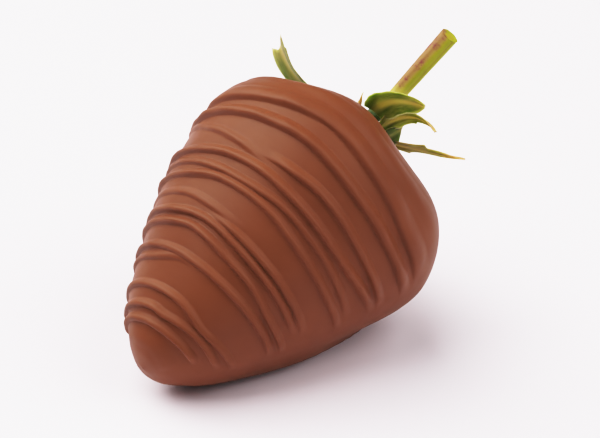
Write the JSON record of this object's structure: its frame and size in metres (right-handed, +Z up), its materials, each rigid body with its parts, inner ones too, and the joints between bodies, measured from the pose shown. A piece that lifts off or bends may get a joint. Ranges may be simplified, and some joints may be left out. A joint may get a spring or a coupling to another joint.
{
  "type": "chocolate covered strawberry",
  "caption": "Whole strawberry dipped in milk chocolate and drizzled with more of it, lying on its side on the flat foot where the chocolate set, with its green leaves and stem left bare.",
  "frame": {"origin": "on the flat foot, under the middle of the object's box", "axes": "+Z up, +Y from the berry's tip towards its leaves and stem, +X to the berry's right hand side seen from the tip"},
  "size_m": [0.0446, 0.0662, 0.0442],
  "materials": {
    "milk_chocolate": "satin set milk chocolate",
    "stem_green": "smooth yellow-green stem",
    "leaf_green": "soft matt green leaf"
  },
  "bodies": {
    "root": {"coated_berry": "milk_chocolate", "calyx_disc": "leaf_green", "stem": "stem_green", "sepal_1": "leaf_green", "sepal_2": "leaf_green", "sepal_3": "leaf_green", "sepal_4": "leaf_green", "sepal_5": "leaf_green", "bract_1": "leaf_green", "bract_2": "leaf_green", "bract_3": "leaf_green", "bract_4": "leaf_green", "bract_5": "leaf_green", "bract_6": "leaf_green"}
  },
  "joints": []
}
